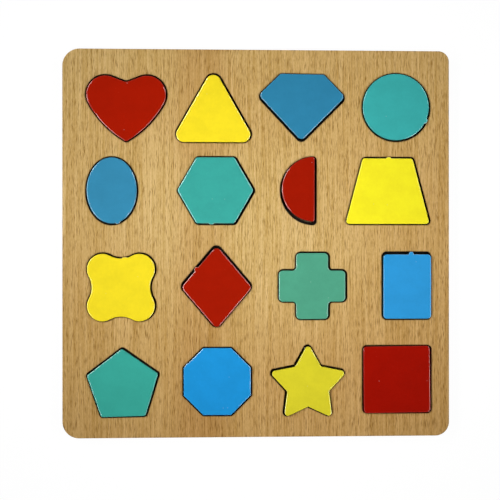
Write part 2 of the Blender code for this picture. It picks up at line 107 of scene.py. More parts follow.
# Colours in linear light, where a wood has a light, a dark and a fleck colour
BEECH = ((0.668, 0.434, 0.170), (0.410, 0.222, 0.039), (0.215, 0.096, 0.001))
BIRCH = ((0.66, 0.50, 0.28), (0.50, 0.34, 0.16), (0.46, 0.31, 0.145))
PLY_ALONG = ((0.40, 0.25, 0.115), (0.58, 0.42, 0.22))
PLY_ACROSS = ((0.20, 0.115, 0.048), (0.38, 0.235, 0.105))
PLY_GLUE_LINE = (0.15, 0.08, 0.03)
PLY_SMOKE = (0.10, 0.05, 0.018)
SCORCH_BROWN = (0.10, 0.045, 0.015)
# Near-black of the painted shade on the socket floors, and of the char on every second ply of a burnt wall
SHADE_AND_CHAR_BLACK = (0.004, 0.003, 0.002)
CHAR = ((0.003, 0.002, 0.001), (0.010, 0.005, 0.002))
CHAR_PULSE = (0.016, 0.008, 0.004)
BARE_SIDE = (0.012, 0.006, 0.004)
BRIDGE_WOOD = (0.62, 0.55, 0.40)
DRY_GLUE = ((0.13, 0.07, 0.028), (0.30, 0.19, 0.085))
WHITE = (1.0, 1.0, 1.0)

# Grain: shifts that make each piece's grain and paint its own, sideways sway, tone at the start, and the
# flecks as cell in millimetres, share of the cells that hold one, girth, weight and shift
BACKING_SHIFT = 31.0
UNDERSIDE_SHIFT = 5.3
PAINT_SHIFT = 11.7
GRAIN_SWAY = 1.2 * MM
GRAIN_TONE = -0.175
FLECKS = (
    ((0.62, 7.5, 50), 0.48, 0.50, 0.96, 3.1),
    ((0.56, 11.5, 50), 0.36, 0.47, 0.90, 9.7),
    ((0.55, 28.0, 50), 0.28, 0.46, 0.60, 5.3),
)

# Painted light and shade on the beech, and one broad darker band across it: factors of its colour at both ends,
# and the reaches over which they change
PAINTED_FALLOFF_REACH = 150 * MM
PAINTED_FALLOFF_LEAN = -0.15
PAINTED_SHADE_TO_LOWER_EDGE = ((0.955, 0.907, 0.86), (1.047, 1.10, 1.16))
PAINTED_LIGHT_TO_RIGHT = ((0.952, 0.969, 0.978), (1.05, 1.032, 1.022))
PAINTED_LIGHT_MIDDLE = (1.10, 1.20, 1.35)
PAINTED_LIGHT_SQUEEZE = (0.75, 1.0, 0.0)
PAINTED_LIGHT_REACH = (95 * MM, 10 * MM)
DARK_BAND = (0.89, 0.82, 0.74)
DARK_BAND_X = -32 * MM
DARK_BAND_REACH = (23 * MM, 5 * MM)

# Laser-cut sides: the share of each channel of the paint that stains them, and the most of it
STAIN_SHARES = (0.36, 0.26, 0.20)
STAIN_LIMIT = 0.12

# Paint: how much darker and lighter its mottling goes, how far down the side it ends, its few pale specks
# as cell and radii, and how far below the top a nub turns pale
PAINT_DARKER = 0.93
PAINT_LIGHTER = 1.04
PAINT_END = (0.95 * MM, 0.75 * MM)
PAINT_RAGGED = 0.20 * MM
SPECK_CELL = (9, 9, 50)
SPECK_RADII = (0.034, 0.016)
SPECK_CHANCE = (0.91, 0.93)
SPECK_GREY = 0.75
NUB_PALE = (0.01 * MM, 0.06 * MM)

# Each insert's paint, set one by one to match it where it lies on the board, so besides its own colour it
# carries painted light and shade from its place
PAINTS_WITH_PAINTED_LIGHT = {
    "heart": (0.388, 0.0090, 0.0002),
    "triangle": (0.953, 0.7574, 0.0202),
    "gem": (0.030, 0.2353, 0.4107),
    "circle": (0.048, 0.4421, 0.4275),
    "oval": (0.038, 0.2526, 0.4283),
    "hexagon": (0.045, 0.3848, 0.3344),
    "semicircle": (0.355, 0.0087, 0.0005),
    "trapezoid": (0.990, 0.8726, 0.0200),
    "quatrefoil": (0.920, 0.7322, 0.0196),
    "rhombus": (0.370, 0.0092, 0.0005),
    "cross": (0.086, 0.3753, 0.2425),
    "rectangle": (0.031, 0.3424, 0.7443),
    "pentagon": (0.045, 0.4086, 0.3328),
    "octagon": (0.014, 0.3116, 0.7274),
    "star": (0.774, 0.6919, 0.0282),
    "square": (0.380, 0.0048, 0.0001),
}
# Direction in degrees of the nub on an insert's wall
NUBS = {
    "circle": -25,
    "oval": -79,
    "hexagon": -97,
    "trapezoid": 88,
    "quatrefoil": 83,
    "rhombus": 138,
    "rectangle": 83,
    "octagon": 151,
}
# Sockets whose rims take the char of the burnt wall: laser char, given only to these to darken their gaps, so
# partly painted shade
CHARRED_AND_SHADED_RIMS = ("oval", "hexagon", "cross", "pentagon", "octagon")


def edge_loops_at(node, height):
    """Closed loops of (x, y) where a node's walls meet the flat face at that height."""
    bm = bmesh.new()
    bm.from_mesh(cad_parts[node].data)
    bmesh.ops.remove_doubles(bm, verts=bm.verts, dist=SAME_POINT)
    links = {}
    for edge in bm.edges:
        level = all(abs(vert.co.z - height) < SAME_HEIGHT for vert in edge.verts)
        if level and len(edge.link_faces) == 2:
            flat = [abs(face.normal.z) > FLAT_NORMAL for face in edge.link_faces]
            if flat.count(True) == 1:
                first, second = edge.verts
                links.setdefault(first.index, []).append(second.index)
                links.setdefault(second.index, []).append(first.index)
    bm.verts.ensure_lookup_table()
    loops = []
    seen = set()
    for start in sorted(links):
        if start in seen:
            continue
        chain = [start]
        seen.add(start)
        while True:
            fresh = [index for index in links[chain[-1]] if index not in seen]
            if not fresh:
                break
            chain.append(fresh[0])
            seen.add(fresh[0])
        loops.append([(bm.verts[index].co.x, bm.verts[index].co.y) for index in chain])
    bm.free()
    return loops


def signed_area(loop):
    """Area of a closed loop, positive where it runs counter-clockwise."""
    total = 0.0
    for index, (x, y) in enumerate(loop):
        after_x, after_y = loop[(index + 1) % len(loop)]
        total += x * after_y - after_x * y
    return total / 2


def faired(loop):
    """The loop as (x, y, normal x, normal y), its arcs made finer, its corners and straight edges kept.

    The solid lies to the left of the loop, and the normals point to the right.
    """
    points = [Vector(point) for point in loop]
    count = len(points)
    lengths = [(points[(index + 1) % count] - points[index]).length for index in range(count)]
    tangents = []
    for index in range(count):
        back = (points[index] - points[index - 1]).normalized()
        ahead = (points[(index + 1) % count] - points[index]).normalized()
        back_length = lengths[index - 1]
        ahead_length = lengths[index]
        if back.angle(ahead) > math.radians(CORNER_TURN):
            tangents.append((back, ahead))
        elif back_length > LONG_EDGE_RATIO * ahead_length:
            tangents.append((back, back))
        elif ahead_length > LONG_EDGE_RATIO * back_length:
            tangents.append((ahead, ahead))
        else:
            shared = (back / back_length + ahead / ahead_length).normalized()
            tangents.append((shared, shared))
    fine = []
    for index in range(count):
        start = points[index]
        end = points[(index + 1) % count]
        length = lengths[index]
        leave = tangents[index][1] * length
        arrive = tangents[(index + 1) % count][0] * length
        straight = leave.dot(arrive) > STRAIGHT_COSINE * length ** 2
        pieces = 1 if straight else max(2, math.ceil(length / FAIR_CHORD))
        for piece in range(pieces):
            t = piece / pieces
            place = (
                (2 * t ** 3 - 3 * t ** 2 + 1) * start + (t ** 3 - 2 * t ** 2 + t) * leave
                + (3 * t ** 2 - 2 * t ** 3) * end + (t ** 3 - t ** 2) * arrive
            )
            slope = (
                (6 * t ** 2 - 6 * t) * start + (3 * t ** 2 - 4 * t + 1) * leave
                + (6 * t - 6 * t ** 2) * end + (3 * t ** 2 - 2 * t) * arrive
            ).normalized()
            fine.append((place.x, place.y, slope.y, -slope.x))
    return fine


def moved_aside(loop, reach):
    """Points a distance to the right of a loop, left if negative, none nearer to another part of it."""
    corners = [Vector(point[:2]) for point in loop]
    sides = list(zip(corners, corners[1:] + corners[:1]))
    kept = []
    for start, end in sides:
        side = end - start
        normal = Vector((side.y, -side.x)).normalized()
        pieces = math.ceil(side.length / OFFSET_STEP)
        for piece in range(pieces):
            point = start + side * (piece + 0.5) / pieces + normal * reach
            nearest = abs(reach)
            for low, high in sides:
                share = max(0.0, min(1.0, (point - low).dot(high - low) / (high - low).length_squared))
                nearest = min(nearest, (point - low.lerp(high, share)).length)
            if nearest > abs(reach) - OFFSET_SLACK:
                kept.append(tuple(point))
    return kept


def inset_limits(loop):
    """For each point of a loop, the greatest inset that doesn't fold the edges beside it over."""
    limits = [math.inf] * len(loop)
    for index, (x, y, normal_x, normal_y) in enumerate(loop):
        after = (index + 1) % len(loop)
        after_x, after_y, after_normal_x, after_normal_y = loop[after]
        edge = Vector((after_x - x, after_y - y))
        closing = edge.dot(Vector((after_normal_x - normal_x, after_normal_y - normal_y)))
        if closing > 0:
            limit = INSET_SHARE * edge.length_squared / closing
            limits[index] = min(limits[index], limit)
            limits[after] = min(limits[after], limit)
    return limits


def inset_points(loop, inset):
    """The loop's points moved in by the inset, or by as much of it as doesn't fold an edge over."""
    points = []
    for (x, y, normal_x, normal_y), limit in zip(loop, inset_limits(loop)):
        held = min(inset, limit)
        points.append((x - normal_x * held, y - normal_y * held))
    return points


def round_edge(width, drop, steps, top):
    """Rings of a rounded edge: (inset, height from the face, tilt of the normal)."""
    rings = []
    for step in range(steps + 1):
        angle = math.pi / 2 * step / steps
        inset = width * (1 - math.cos(angle))
        depth = drop * (1 - math.sin(angle))
        tilt = math.atan2(math.sin(angle) * width, math.cos(angle) * drop)
        rings.append((inset, -depth, tilt) if top else (inset, depth, -tilt))
    return rings if top else rings[::-1]


def wall_profile(low, high, low_edge, high_edge, slots):
    """Rings from the bottom face to the top face, each with the slot of the strip above it."""
    low_slot, wall_slot, high_slot = slots
    rings = [(inset, low + rise, tilt, low_slot) for inset, rise, tilt in low_edge[:-1]]
    inset, rise, tilt = low_edge[-1]
    rings.append((inset, low + rise, tilt, wall_slot))
    rings += [(inset, high + fall, tilt, high_slot) for inset, fall, tilt in high_edge]
    return rings


def turn_cap(face, upward, slot):
    """Turn a face of a cap the right way and give it its slot."""
    face.material_index = slot
    face.normal_update()
    if (face.normal.z > 0) != upward:
        face.normal_flip()


class Slab:
    """A flat solid in the making, with a normal for each of its vertices."""

    def __init__(self):
        self.bm = bmesh.new()
        # Share of scorch along the tray's holes, and of painted shade on the backing's socket floors
        self.scorch_and_painted_light = self.bm.verts.layers.float.new("scorch_and_painted_light")
        self.bridge = self.bm.verts.layers.float.new("bridge")
        self.normals = []

    def add_ring(self, points, height, normals):
        """Vertices at the points, all at one height."""
        self.normals += normals
        return [self.bm.verts.new((x, y, height)) for x, y in points]

    def add_flat_ring(self, points, height, scorch_and_painted_light=0.0):
        """Vertices inside the top face, carrying the given share: of scorch on the tray, of painted shade on the
        backing.
        """
        ring = self.add_ring(points, height, [(0.0, 0.0, 1.0)] * len(points))
        for vert in ring:
            vert[self.scorch_and_painted_light] = scorch_and_painted_light
        return ring

    def add_strip(self, low, high, slot):
        """Faces between two rings of as many vertices."""
        for index in range(len(low)):
            after = (index + 1) % len(low)
            face = self.bm.faces.new([low[index], low[after], high[after], high[index]])
            face.material_index = slot

    def add_wall(self, loop, profile):
        """The wall along a loop, and its lowest and highest rings."""
        rings = []
        for inset, height, tilt, slot in profile:
            level = math.cos(tilt)
            rise = math.sin(tilt)
            normals = [(normal_x * level, normal_y * level, rise) for x, y, normal_x, normal_y in loop]
            rings.append(self.add_ring(inset_points(loop, inset), height, normals))
        for low, high, (inset, height, tilt, slot) in zip(rings, rings[1:], profile):
            self.add_strip(low, high, slot)
        return rings[0], rings[-1]

    def fill(self, rings, upward, slot):
        """A cap between an outer ring and the rings of its holes."""
        edges = []
        for ring in rings:
            edges += [self.bm.edges.get((ring[index - 1], ring[index])) for index in range(len(ring))]
        filled = bmesh.ops.triangle_fill(self.bm, use_beauty=True, use_dissolve=False, edges=edges)
        for made in filled["geom"]:
            if isinstance(made, bmesh.types.BMFace):
                turn_cap(made, upward, slot)

    def cover(self, rings, slot):
        """A top cap over all that lies inside the first ring, with an edge along every other ring."""
        verts = [vert for ring in rings for vert in ring]
        edges = []
        for ring in rings:
            start = len(edges)
            edges += [(start + index, start + (index + 1) % len(ring)) for index in range(len(ring))]
        split = delaunay_2d_cdt([vert.co.xy for vert in verts], edges, [], 1, SAME_POINT)
        faces, sources = split[2:4]
        for corners in faces:
            turn_cap(self.bm.faces.new([verts[sources[corner][0]] for corner in corners]), True, slot)

    def level_nub(self, middle_x, middle_y, direction, top):
        """Mark the stub of the bridge that points in a direction from the middle, and level its rim."""
        ray_x = math.cos(math.radians(direction))
        ray_y = math.sin(math.radians(direction))
        for vert in self.bm.verts:
            x = vert.co.x - middle_x
            y = vert.co.y - middle_y
            aside = abs(y * ray_x - x * ray_y) / NUB_HALF_WIDTH
            if x * ray_x + y * ray_y > 0 and aside < 1:
                vert[self.bridge] = math.cos(aside * math.pi / 2)
                if vert.co.z > top - NUB_DEPTH:
                    vert.co.z += (top - vert.co.z) * NUB_LEVELLING * vert[self.bridge]

    def finish(self, name, materials):
        """The object made of the slab."""
        mesh = bpy.data.meshes.new(name)
        self.bm.to_mesh(mesh)
        self.bm.free()
        for material in materials:
            mesh.materials.append(material)
        mesh.shade_smooth()
        mesh.normals_split_custom_set_from_vertices(self.normals)
        piece = bpy.data.objects.new(name, mesh)
        bpy.context.scene.collection.objects.link(piece)
        return piece


def build_slab(name, walls, materials, cap_slots, scorched=False, painted_shade=(), nub=None):
    """A flat solid from (loop, profile) pairs, outer wall first, smooth over its rounded edges.

    The cap slots are those of its underside and its top. Scorched, it is browned along its holes.
    Painted shade lies on the top along the given loops. The nub is (middle x, middle y, direction in degrees)
    of the broken bridge on the wall.
    """
    slab = Slab()
    low_slot, top_slot = cap_slots
    top = walls[0][1][-1][1]
    ends = [slab.add_wall(loop, profile) for loop, profile in walls]
    lowest = [low for low, high in ends]
    highest = [high for low, high in ends]
    if scorched:
        for index, (loop, profile) in enumerate(walls[1:], 1):
            for vert in highest[index]:
                vert[slab.scorch_and_painted_light] = 1.0
            spread = slab.add_flat_ring(inset_points(loop, profile[-1][0] + SCORCH_REACH), top)
            slab.add_strip(highest[index], spread, top_slot)
            highest[index] = spread
    # Painted shade: a full ring just under the tray's edge and an empty one further into each socket, on the
    # backing's top
    for loop in painted_shade:
        highest.append(slab.add_flat_ring(moved_aside(loop, -PAINTED_SHADE_UNDER), top, scorch_and_painted_light=1.0))
        highest.append(slab.add_flat_ring(moved_aside(loop, PAINTED_SHADE_REACH), top))
    if painted_shade:
        slab.cover(highest, top_slot)
    slab.fill(lowest, False, low_slot)
    if not painted_shade:
        slab.fill(highest, True, top_slot)
    if nub is not None:
        slab.level_nub(*nub, top)
    return slab.finish(name, materials)


def feed(tree, socket, value):
    """Link a socket to another one or set its value, where a colour may leave out its alpha."""
    if isinstance(value, bpy.types.NodeSocket):
        tree.links.new(value, socket)
    elif socket.type == "RGBA" and len(value) == 3:
        socket.default_value = (*value, 1.0)
    else:
        socket.default_value = value


def add_node(tree, kind, inputs=None, **settings):
    """A new node with its settings and inputs."""
    made = tree.nodes.new(kind)
    for key, value in settings.items():
        setattr(made, key, value)
    for key, value in (inputs or {}).items():
        feed(tree, made.inputs[key], value)
    return made


class Shader:
    """A material's node tree, built by short calls."""

    def __init__(self, name):
        self.material = bpy.data.materials.new(name)
        self.material.use_nodes = True
        self.tree = self.material.node_tree
        self.surface = self.tree.nodes["Principled BSDF"]
        self.place = self.node("ShaderNodeTexCoord").outputs["Object"]

    def node(self, kind, inputs=None, **settings):
        return add_node(self.tree, kind, inputs, **settings)

    def math(self, operation, first, second=0.0, third=0.0, clamp=False):
        made = self.node("ShaderNodeMath", {0: first, 1: second, 2: third}, operation=operation, use_clamp=clamp)
        return made.outputs[0]

    def parts(self):
        """X, Y and Z of the place on the object."""
        return self.node("ShaderNodeSeparateXYZ", {"Vector": self.place}).outputs

    def attribute(self, name):
        return self.node("ShaderNodeAttribute", attribute_name=name).outputs["Fac"]

    def scaled(self, scale, shift, source):
        """The place on the object, in cells of the given size in millimetres."""
        factors = tuple(1 / (size * MM) for size in scale)
        mapping = self.node("ShaderNodeMapping", {
            "Vector": source or self.place, "Location": shift, "Scale": factors,
        })
        return mapping.outputs["Vector"]

    def noise(self, scale, shift, detail, rough=0.5, source=None):
        """Soft noise with blots of about the given size in millimetres."""
        made = self.node("ShaderNodeTexNoise", {
            "Vector": self.scaled(scale, shift, source), "Scale": 1.0, "Detail": detail, "Roughness": rough,
        })
        return made.outputs["Fac"]

    def cells(self, scale, shift, source=None, distance="EUCLIDEAN"):
        """Distance from the middle of the nearest cell, and three chances that are the cell's own."""
        made = self.node("ShaderNodeTexVoronoi", {
            "Vector": self.scaled(scale, shift, source), "Scale": 1.0,
        }, voronoi_dimensions="2D", distance=distance)
        chances = self.node("ShaderNodeSeparateColor", {"Color": made.outputs["Color"]}).outputs
        return made.outputs["Distance"], chances

    def spindles(self, size, present, girth, shift, source):
        """Pointed marks along the grain, no two alike, in a share of the cells of the given size."""
        distance, chance = self.cells(size, shift, source, "MANHATTAN")
        reach = self.math("MULTIPLY_ADD", chance["Green"], girth * 0.6, girth * 0.4)
        body = self.ramp(self.math("DIVIDE", distance, reach), 1.0, 0.55)
        chosen = self.math("LESS_THAN", chance["Red"], present)
        depth = self.math("MULTIPLY_ADD", chance["Blue"], 0.5, 0.5)
        return self.math("MULTIPLY", self.math("MULTIPLY", body, chosen), depth)

    def ramp(self, value, low, high, start=0.0, end=1.0):
        """Smoothly from start to end while the value goes from low to high."""
        made = self.node("ShaderNodeMapRange", {
            "Value": value, "From Min": low, "From Max": high, "To Min": start, "To Max": end,
        }, interpolation_type="SMOOTHSTEP")
        return made.outputs["Result"]

    def mix(self, factor, first, second, blend="MIX"):
        made = self.node("ShaderNodeMix", data_type="RGBA", blend_type=blend)
        for key, value in (("Factor", factor), ("A", first), ("B", second)):
            feed(self.tree, made.inputs[key], value)
        return made.outputs["Result"]

    def bump(self, height, distance, before=None):
        inputs = {"Height": height, "Distance": distance}
        if before is not None:
            inputs["Normal"] = before
        return self.node("ShaderNodeBump", inputs).outputs["Normal"]

    def finish(self, colour, roughness, normal, **constants):
        """The material, with the given sockets of its surface fed."""
        inputs = {"Base Color": colour, "Roughness": roughness, "Normal": normal}
        inputs.update({key.replace("_", " "): value for key, value in constants.items()})
        for key, value in inputs.items():
            feed(self.tree, self.surface.inputs[key], value)
        return self.material


def turned_ply(shader, share):
    """One on every second ply, where the share counts the plies."""
    return shader.math("GREATER_THAN", shader.math("FRACT", shader.math("MULTIPLY", share, 0.5)), 0.5)


def painted_light_and_band(shader, base):
    """Painted light and shade on the face: darker and yellower towards its lower edge, lighter towards its
    right, a painted pool of light about its middle, and one broad darker band.
    """
    parts = shader.parts()
    lean = shader.math("MULTIPLY_ADD", parts["X"], PAINTED_FALLOFF_LEAN, parts["Y"])
    squeezed = shader.node("ShaderNodeVectorMath", {0: shader.place, 1: PAINTED_LIGHT_SQUEEZE}, operation="MULTIPLY")
    from_middle = shader.node("ShaderNodeVectorMath", {0: squeezed.outputs["Vector"]}, operation="LENGTH")
    from_band = shader.math("ABSOLUTE", shader.math("ADD", parts["X"], -DARK_BAND_X))
    for value, (low, high), (first, second) in (
        (lean, (-PAINTED_FALLOFF_REACH, PAINTED_FALLOFF_REACH), PAINTED_SHADE_TO_LOWER_EDGE),
        (parts["X"], (-PAINTED_FALLOFF_REACH, PAINTED_FALLOFF_REACH), PAINTED_LIGHT_TO_RIGHT),
        (from_middle.outputs["Value"], PAINTED_LIGHT_REACH, (WHITE, PAINTED_LIGHT_MIDDLE)),
        (from_band, DARK_BAND_REACH, (WHITE, DARK_BAND)),
    ):
        layer = shader.mix(shader.ramp(value, low, high), first, second)
        base = shader.mix(1.0, base, layer, blend="MULTIPLY")
    return base


def wood_face(name, light, dark, fleck, shift=0.0, turned=False, scorch_and_painted_light=False, painted_shade=False):
    """Sanded beech or plywood face: bands, fibres and short dark flecks along the grain."""
    shader = Shader(name)
    if turned:
        shader.place = shader.node("ShaderNodeMapping", {
            "Vector": shader.place, "Rotation": (0.0, 0.0, math.pi / 2),
        }).outputs["Vector"]
    offset = (shift, shift * 0.7, 0.0)
    drift = shader.noise((40, 110, 50), offset, detail=1.0)
    bend = shader.math("MULTIPLY_ADD", drift, 2 * GRAIN_SWAY, -GRAIN_SWAY)
    shove = shader.node("ShaderNodeCombineXYZ", {"X": bend}).outputs["Vector"]
    along = shader.node("ShaderNodeVectorMath", {0: shader.place, 1: shove}, operation="ADD").outputs["Vector"]
    bands = shader.noise((17, 330, 50), offset, detail=3.0, rough=0.55, source=along)
    streaks = shader.noise((1.7, 90, 50), offset, detail=2.0, rough=0.6, source=along)
    threads = shader.noise((0.62, 60, 50), (shift + 4.4, 8.1, 0.0), detail=2.0, rough=0.6, source=along)
    fibres = shader.noise((0.42, 1.8, 50), offset, detail=1.0, rough=0.6, source=along)
    cloud = shader.noise((45, 60, 50), (shift + 7.3, 2.1, 0.0), detail=2.0)
    tone = GRAIN_TONE
    for layer, low, high, weight in (
        (bands, 0.32, 0.68, 0.18),
        (streaks, 0.30, 0.70, 0.32),
        (threads, 0.30, 0.70, 0.44),
        (fibres, 0.25, 0.75, 0.34),
    ):
        tone = shader.math("MULTIPLY_ADD", shader.ramp(layer, low, high), weight, tone)
    tone = shader.math("MULTIPLY_ADD", cloud, 0.12, tone, clamp=True)
    base = shader.mix(tone, dark, light)
    marks = None
    for size, present, girth, weight, lane in FLECKS:
        mark = shader.spindles(size, present, girth, (shift + lane, lane * 0.6, 0.0), along)
        mark = shader.math("MULTIPLY", mark, weight)
        marks = mark if marks is None else shader.math("MAXIMUM", marks, mark)
    base = shader.mix(marks, base, fleck)
    # Painted light and shade across the face, then the brown scorch of the laser along the sockets
    if scorch_and_painted_light:
        base = painted_light_and_band(shader, base)
        burn = shader.attribute("scorch_and_painted_light")
        unevenness = shader.noise((0.9, 0.9, 50), (2.0, 5.0, 0.0), detail=2.0)
        burn = shader.math("MULTIPLY", shader.math("MULTIPLY", burn, burn), unevenness)
        base = shader.mix(burn, base, SCORCH_BROWN)
    # Painted shade: the socket floors turn near-black along the socket walls, standing in for the dark of the
    # narrow gaps
    if painted_shade:
        unevenness = shader.noise((1.4, 1.4, 50), (6.0, 3.0, 0.0), detail=3.0)
        lies = shader.math("MULTIPLY_ADD", unevenness, 0.24, shader.attribute("scorch_and_painted_light"))
        lies = shader.ramp(lies, 0.22, 0.50)
        base = shader.mix(shader.math("MULTIPLY", lies, 0.97), base, SHADE_AND_CHAR_BLACK)
    dents = shader.noise((2.4, 3.0, 50), (8.8, 1.2, 0.0), detail=1.0)
    relief = shader.math("MULTIPLY_ADD", marks, -0.6, fibres)
    normal = shader.bump(dents, 0.02 * MM, before=shader.bump(relief, 0.035 * MM))
    return shader.finish(base, shader.ramp(fibres, 0.2, 0.8, 0.46, 0.62), normal, Specular_IOR_Level=0.3)


def ply_edge(name, low, high, plies):
    """Sawn and lightly sanded side of a plywood sheet: thin plies, turn about, with glue lines."""
    shader = Shader(name)
    sway = 0.16 * MM
    wave = shader.noise((14, 14, 50), (3.0, 1.0, 0.0), detail=2.0)
    level = shader.math("MULTIPLY_ADD", wave, sway, shader.parts()["Z"])
    share = shader.node("ShaderNodeMapRange", {
        "Value": level, "From Min": low, "From Max": high + sway, "To Min": 0.0, "To Max": float(plies),
    }, clamp=False).outputs["Result"]
    cycle = shader.math("PINGPONG", share, 1.0)
    turn = turned_ply(shader, share)
    near_line = shader.math("MINIMUM", cycle, shader.math("SUBTRACT", 1.0, cycle))
    long_grain = shader.noise((9, 9, 0.10), (1.0, 2.0, 3.0), detail=3.0)
    end_grain = shader.noise((0.22, 0.22, 0.35), (6.0, 2.0, 3.0), detail=2.0)
    long_tone = shader.mix(shader.ramp(long_grain, 0.3, 0.7), *PLY_ALONG)
    end_tone = shader.mix(shader.ramp(end_grain, 0.3, 0.7), *PLY_ACROSS)
    base = shader.mix(turn, long_tone, end_tone)
    base = shader.mix(shader.ramp(near_line, 0.10, 0.03), base, PLY_GLUE_LINE)
    unevenness = shader.noise((11, 11, 1.6), (4.0, 4.0, 4.0), detail=3.0)
    base = shader.mix(shader.ramp(unevenness, 0.35, 0.8, 0.10, 0.45), base, PLY_SMOKE)
    normal = shader.bump(shader.math("MULTIPLY_ADD", turn, -0.5, end_grain), 0.05 * MM)
    return shader.finish(base, shader.ramp(end_grain, 0.2, 0.8, 0.6, 0.8), normal)


def burnt_wall(name, low, high, plies, colour=(0, 0, 0)):
    """Laser-cut wall, charred, with upright pulse lines and a breath of the piece's paint on its upper part."""
    shader = Shader(name)
    height = shader.parts()["Z"]
    pulses = shader.noise((0.20, 0.20, 9.0), (1.7, 2.9, 0.0), detail=2.0)
    patches = shader.noise((3.5, 3.5, 2.0), (5.1, 0.3, 2.2), detail=3.0)
    share = shader.math("MULTIPLY", shader.math("SUBTRACT", height, low), plies / (high - low))
    char = shader.mix(shader.ramp(patches, 0.35, 0.75), *CHAR)
    char = shader.mix(shader.ramp(pulses, 0.35, 0.75, 0.0, 0.5), char, CHAR_PULSE)
    char = shader.mix(shader.math("MULTIPLY", turned_ply(shader, share), 0.35), char, SHADE_AND_CHAR_BLACK)
    stain = tuple(min(STAIN_LIMIT, channel * part) for channel, part in zip(colour, STAIN_SHARES))
    drift = shader.ramp(height, low - (high - low) / 2, high)
    char = shader.mix(drift, char, shader.mix(1.0, char, stain, blend="ADD"))
    normal = shader.bump(pulses, 0.06 * MM)
    return shader.finish(char, shader.ramp(pulses, 0.2, 0.8, 0.55, 0.8), normal, Specular_IOR_Level=0.04)


def paint(name, colour, high, shift):
    """Glossy paint over a plywood piece, run a little way down its burnt side, pale where a bridge broke."""
    shader = Shader(name)
    height = shader.parts()["Z"]
    ragged = shader.noise((0.7, 0.7, 0.7), (shift, 3.0, 1.0), detail=3.0)
    edge = shader.math("MULTIPLY_ADD", ragged, PAINT_RAGGED, height)
    coat = shader.ramp(edge, high - PAINT_END[0], high - PAINT_END[1])
    blotches = shader.noise((11, 9, 9), (shift, shift * 0.5, 0.0), detail=3.0, rough=0.6)
    mottle = shader.noise((1.6, 2.0, 2.0), (shift * 0.3, shift, 0.0), detail=3.0, rough=0.65)
    grain = shader.noise((0.5, 14, 2.0), (shift, 1.0, 0.0), detail=2.0)
    tone = shader.math("MULTIPLY", shader.ramp(blotches, 0.3, 0.7), 0.6)
    tone = shader.math("MULTIPLY_ADD", shader.ramp(mottle, 0.3, 0.7), 0.28, tone)
    tone = shader.math("MULTIPLY_ADD", grain, 0.12, tone)
    darker = tuple(channel * PAINT_DARKER for channel in colour)
    lighter = tuple(min(1.0, channel * PAINT_LIGHTER) for channel in colour)
    base = shader.mix(tone, darker, lighter)
    distance, chance = shader.cells(SPECK_CELL, (shift * 1.3, shift * 0.4, 0.0))
    speck = shader.math(
        "MULTIPLY", shader.ramp(distance, *SPECK_RADII), shader.ramp(chance["Green"], *SPECK_CHANCE))
    pale = tuple((channel + SPECK_GREY) / 2 for channel in colour)
    base = shader.mix(shader.math("MULTIPLY", speck, 0.5), base, pale)
    near_top = shader.ramp(height, high - NUB_PALE[0], high - NUB_PALE[1])
    tab = shader.math("MULTIPLY", shader.attribute("bridge"), near_top)
    base = shader.mix(shader.math("MULTIPLY", tab, 0.5), base, BRIDGE_WOOD)
    base = shader.mix(coat, BARE_SIDE, base)
    peel = shader.noise((0.9, 0.9, 0.9), (1.0, shift, 0.0), detail=2.0)
    swell = shader.noise((6.0, 6.0, 6.0), (shift, 4.0, 0.0), detail=1.0)
    normal = None
    for relief, depth in ((grain, 0.008), (peel, 0.005), (swell, 0.04), (speck, 0.02)):
        normal = shader.bump(relief, depth * MM, before=normal)
    return shader.finish(
        base, shader.ramp(mottle, 0.2, 0.8, 0.20, 0.28), normal,
        Coat_Weight=1.0, Coat_Roughness=0.06, Coat_IOR=1.6, Specular_IOR_Level=0.15)


def glue(name):
    """Dry, brown, blobby glue between the sheets."""
    shader = Shader(name)
    blobs = shader.noise((1.2, 1.2, 1.2), (0.0, 3.0, 0.0), detail=2.0)
    return shader.finish(shader.mix(blobs, *DRY_GLUE), 0.5, shader.bump(blobs, 0.05 * MM))


def emptied(owner):
    """The node tree of a material or a world, with nothing in it."""
    owner.use_nodes = True
    owner.node_tree.nodes.clear()
    return owner.node_tree


def floor_material():
    """Pale matt paper that the camera sees as white, with the object's shadow kept."""
    material = bpy.data.materials.new("studio_paper")
    tree = emptied(material)
    matt = add_node(tree, "ShaderNodeBsdfDiffuse", {"Color": PAPER_COLOUR})
    glow = add_node(tree, "ShaderNodeEmission", {"Color": WHITE, "Strength": PAPER_GLOW})
    path = add_node(tree, "ShaderNodeLightPath").outputs
    seen = add_node(tree, "ShaderNodeMath", {
        0: path["Is Camera Ray"], 1: path["Is Transmission Ray"],
    }, operation="MAXIMUM")
    share = add_node(tree, "ShaderNodeMath", {0: seen.outputs[0], 1: PAPER_GLOW_SHARE}, operation="MULTIPLY")
    blend = add_node(tree, "ShaderNodeMixShader", {
        "Fac": share.outputs[0], 1: matt.outputs[0], 2: glow.outputs[0],
    })
    add_node(tree, "ShaderNodeOutputMaterial", {"Surface": blend.outputs[0]})
    return material


